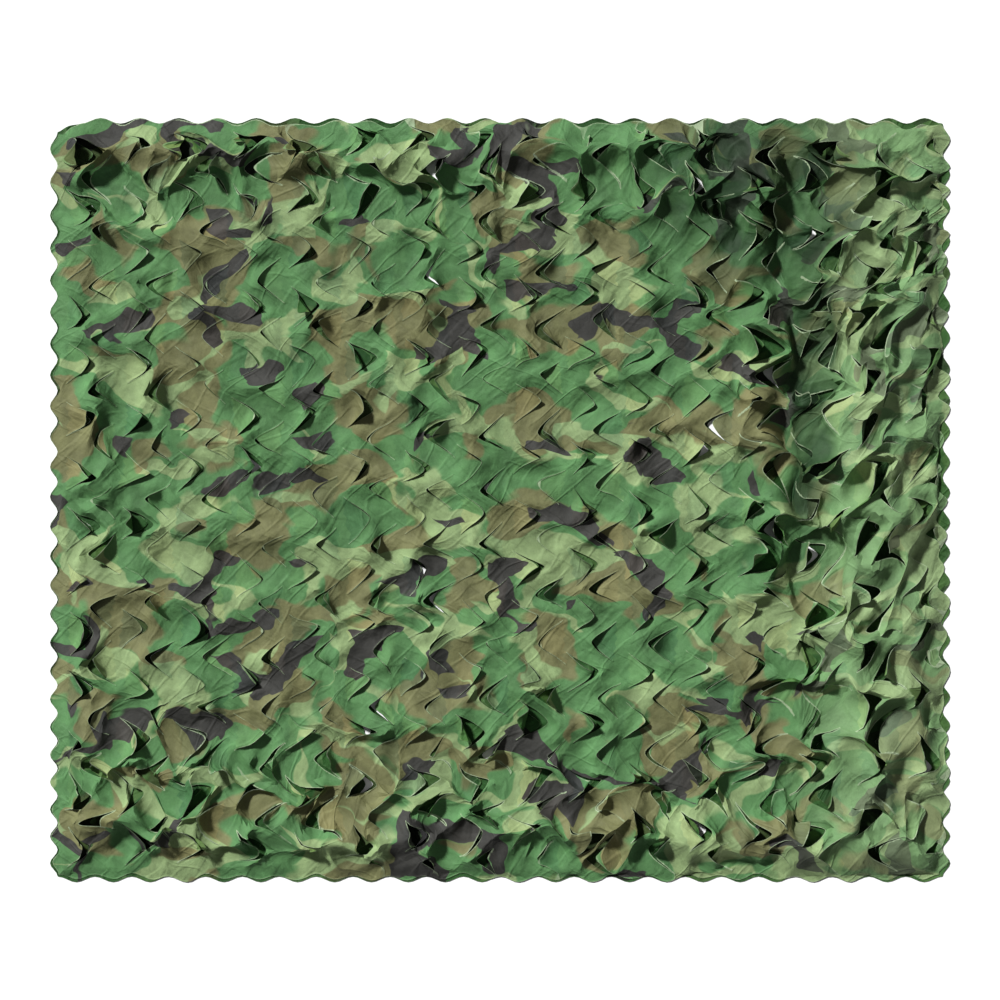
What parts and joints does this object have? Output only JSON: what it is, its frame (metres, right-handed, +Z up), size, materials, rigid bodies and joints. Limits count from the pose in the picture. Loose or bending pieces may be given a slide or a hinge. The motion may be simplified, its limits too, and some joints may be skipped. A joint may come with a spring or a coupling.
{
  "type": "camouflage net",
  "caption": "Leaf-cut camouflage net of incised woodland-print cloth, doubled, laid out face up with scalloped edges, a deep valley fold and a raised side strip",
  "frame": {"origin": "under the middle of the net, on the surface that the back ply lies on", "axes": "+X runs along the long side, to the right with the printed face up; +Y runs along the short side, away from the viewer; +Z is up, out of the printed face"},
  "size_m": [1.7671, 1.5006, 0.071],
  "materials": {
    "front_cloth": "matt printed polyester cloth, woodland camouflage in mid green, light green, olive brown and near black",
    "back_cloth": "matt printed polyester cloth, the same woodland camouflage, seen in the shade of the front ply"
  },
  "bodies": {
    "root": {"net_back": "back_cloth", "net_front": "front_cloth"}
  },
  "joints": []
}
